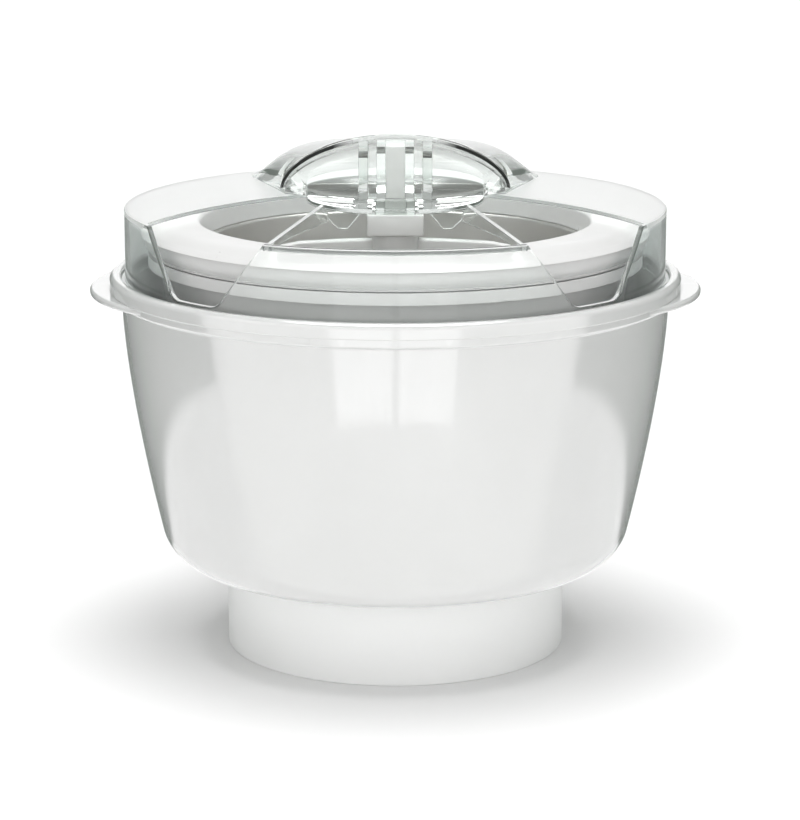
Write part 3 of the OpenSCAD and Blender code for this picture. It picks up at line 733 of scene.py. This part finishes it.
def hood_front(a):
    """The hood's front edge, with a from -90 at one side to 90 at the other."""
    return Vector((HOOD_HALF * sine(a), HOOD_Y - HOOD_DEPTH * cosine(a),
                   HOOD_LOW + HOOD_RISE * max(0.0, cosine(a)) ** HOOD_CURVE))


def roof(a, s, under=0):
    """A point of the roof, with s from 0 at its front edge to 1 at its back edge, or one this far under it."""
    p = hood_front(a).lerp(Vector((64 * sine(a), 75 + 30 * cosine(a), LID_TOP + 0.8)), s)
    p.z = max(ON_LID, p.z + (HOOD_BULGE + HOOD_SHOULDER * sine(2 * a) ** 2) * sine(180 * s) - under)
    return p


def lip(a):
    """The scoop's lip follows the disc, then runs out to the hood's corners."""
    side = 1 if a > 0 else -1
    turn, out = min(abs(a), LIP_END) * 90 / LIP_END, max(0, abs(a) - LIP_END) / (90 - LIP_END)
    return Vector((side * (DISC_R * sine(turn) + 11.1 * out), DISC_Y - DISC_R * cosine(turn) + 6 * out,
                   LID_TOP + 4.1 - 1.2 * (a / 90) ** 2))


def scoop(a, t):
    """A point of the finger scoop, with t from 0 under the front edge to 180 at the lip."""
    low, edge = lip(a), hood_front(a)
    top = Vector((edge.x, edge.y, max(edge.z - HOOD_WALL, low.z + 0.2)))
    reach = max(0.0, cosine(a * 90 / HOOD_END)) ** 0.9
    hollow = sine(t) * reach * Vector((-3 * sine(a), SCOOP_DEPTH, -2.75))
    return top * ((1 + cosine(t)) / 2) + low * ((1 - cosine(t)) / 2) + hollow


def scoop_back(a, t):
    """The other face of the scoop's wall."""
    p = scoop(a, t)
    lift = cosine(t) * (HOOD_WALL if cosine(t) > 0 else 4)
    return Vector((p.x, p.y + 2.2 * sine(t), max(ON_LID, p.z + lift)))


def hood_section(a):
    """A closed row of points round the hood's wall: over the roof, round the nose, down the scoop and back under.

    Towards the corners the hollow under the roof closes."""
    low = lip(a)
    low_front, low_back = Vector((low.x, low.y, ON_LID)), roof(a, 1, 10)
    under = [scoop_back(a, t) for t in span(176, 45, 40)]
    under += [roof(a, s, HOOD_WALL) for s in span(0.2, 0.93, 16)] + [low_back]
    u = min(1.0, max(0.0, (abs(a) - 72) / 12))
    shut = u * u * (3 - 2 * u)
    n = len(under)
    under = [p.lerp(low_front.lerp(low_back, (k + 1) / n), shut) for k, p in enumerate(under)]
    outer = [roof(a, s) for s in span(1, 0.02, 28)]
    nose_top, nose_low = roof(a, 0), scoop(a, 0)
    gap = (nose_top - nose_low).length
    nose = []
    for q in (20, 50, 90, 130, 160):
        p = nose_top.lerp(nose_low, (1 - cosine(q)) / 2)
        nose.append(p + Vector((0, 0.35 * gap * (1 - sine(q)), 0)))
    inner = [scoop(a, t) for t in span(5, 174, 52)]
    lip_nose = [low + Vector((0, 0.5, 0)), low + Vector((0, 0.1, -0.5)),
                low_front + Vector((0, 0.1, 0.4)), low_front + Vector((0, 0.4, 0))]
    return outer + nose + inner + lip_nose + under


def hood():
    bm = bmesh.new()
    skin(bm, [[bm.verts.new(p) for p in hood_section(a)] for a in span(-HOOD_END, HOOD_END, 128)])
    return finish_mesh("hood_clear", bm, 32)


def handle():
    body = hood()
    web = [(-14.2, ON_LID), (-14.2, 220), (10, 216), (10, ON_LID)]
    cut_or_join(body, [plate("web", [web], 4, 0.3, side_on(13.4 * side), 2) for side in (1, -1)], "UNION")
    passage = [(-STEM_HALF, 189), (-STEM_HALF, 218.65), (STEM_HALF, 216.05), (STEM_HALF, 189)]
    cut_or_join(body, [plate("passage", [passage], 2 * STEM_HALF, 0.1, side_on(0), 2)], "DIFFERENCE")
    piece(body, "lid", "clear_plastic", "lid_handle")
    tube = [(-7.9, 187.8), (-7.9, 218.6), (7.9, 216), (7.9, 187.8)]
    socket = plate("stem_socket_tube", [tube], 15.8, 0.5, side_on(0), 3)
    cut_or_join(socket, [bar("bore", (-4.2, -4.2, 180), (4.2, 4.2, 230), 0, 0.3)], "DIFFERENCE")
    piece(socket, "lid", "clear_plastic", "stem_socket")


# ---------------------------------------------------------------- stage

FLOOR_HALF = 9000


def stage():
    bm = bmesh.new()
    bmesh.ops.create_grid(bm, x_segments=2, y_segments=2, size=FLOOR_HALF)
    floor = finish_mesh("floor", bm)
    n = Surface("floor_white")
    n.set(Base_Color=n.mottled(3, 2, (0.86, 0.86, 0.86), (0.87, 0.87, 0.87)), Roughness=0.9, Specular_IOR_Level=0.0)
    floor.data.materials.append(n.mat)
    floor.visible_glossy = False


def world():
    """A white studio by direction, the same on both sides, in degrees from straight ahead and above the horizon."""
    studio = bpy.data.worlds.new("studio")
    bpy.context.scene.world = studio
    studio.use_nodes = True
    studio.node_tree.nodes.clear()
    t = Tree(studio.node_tree)
    x, y, z = t.axes(t.add("ShaderNodeTexCoord").outputs["Generated"])
    degrees = 180 / math.pi
    az = t.product(t.math("ARCTAN2", t.math("ABSOLUTE", x), t.product(y, -1.0)), degrees)
    el = t.product(t.math("ARCSINE", z), degrees)
    front = t.band(az, -10, 78, 6)
    shaded = t.band(el, 35, 100, 10)
    overhead = t.band(el, 68, 120, 3)
    flats = t.product(t.band(az, 82, 168, 3), t.band(el, -21.5, 34, 1.0))
    panes = t.product(t.band(az, 1.4, 25.5, 0.5), t.band(el, -28, -4, 0.8))
    colour = t.layers((1.0, 1.0, 1.0), (front, (1.25, 1.25, 1.24)), (shaded, (0.25, 0.25, 0.25)),
                      (overhead, (6.3, 6.3, 6.3)), (flats, (0.17, 0.19, 0.175)), (panes, (1.9, 1.9, 1.9)))
    background = t.add("ShaderNodeBackground")
    t.feed(background.inputs["Color"], colour)
    t.feed(t.add("ShaderNodeOutputWorld").inputs["Surface"], background.outputs[0])


def area(name, place, aim, size, power):
    data = bpy.data.lights.new(name, "AREA")
    data.shape = "RECTANGLE"
    data.size, data.size_y = size
    data.energy = power
    lamp = bpy.data.objects.new(name, data)
    lamp.location = place
    lamp.rotation_euler = (Vector(aim) - Vector(place)).to_track_quat("-Z", "Y").to_euler()
    bpy.context.scene.collection.objects.link(lamp)


def camera():
    data = bpy.data.cameras.new("camera")
    data.sensor_width = 36
    data.lens = 134.72
    data.shift_x = 0.0057
    data.clip_end = 40
    cam = bpy.data.objects.new("camera", data)
    cam.location = (0, -1.2838, 0.3954)
    cam.rotation_euler = (math.radians(77.07), 0, 0)
    bpy.context.scene.collection.objects.link(cam)
    bpy.context.scene.camera = cam


outer_bowl()
freezer_bowl()
dasher()
lid()
handle()
stage()
world()
area("top_light", (0.0, -0.1, 1.7), (0, 0, 0.1), (1.6, 1.3), 1.5)
camera()
bpy.context.scene.view_settings.view_transform = "Standard"
bpy.context.scene.view_settings.look = "None"
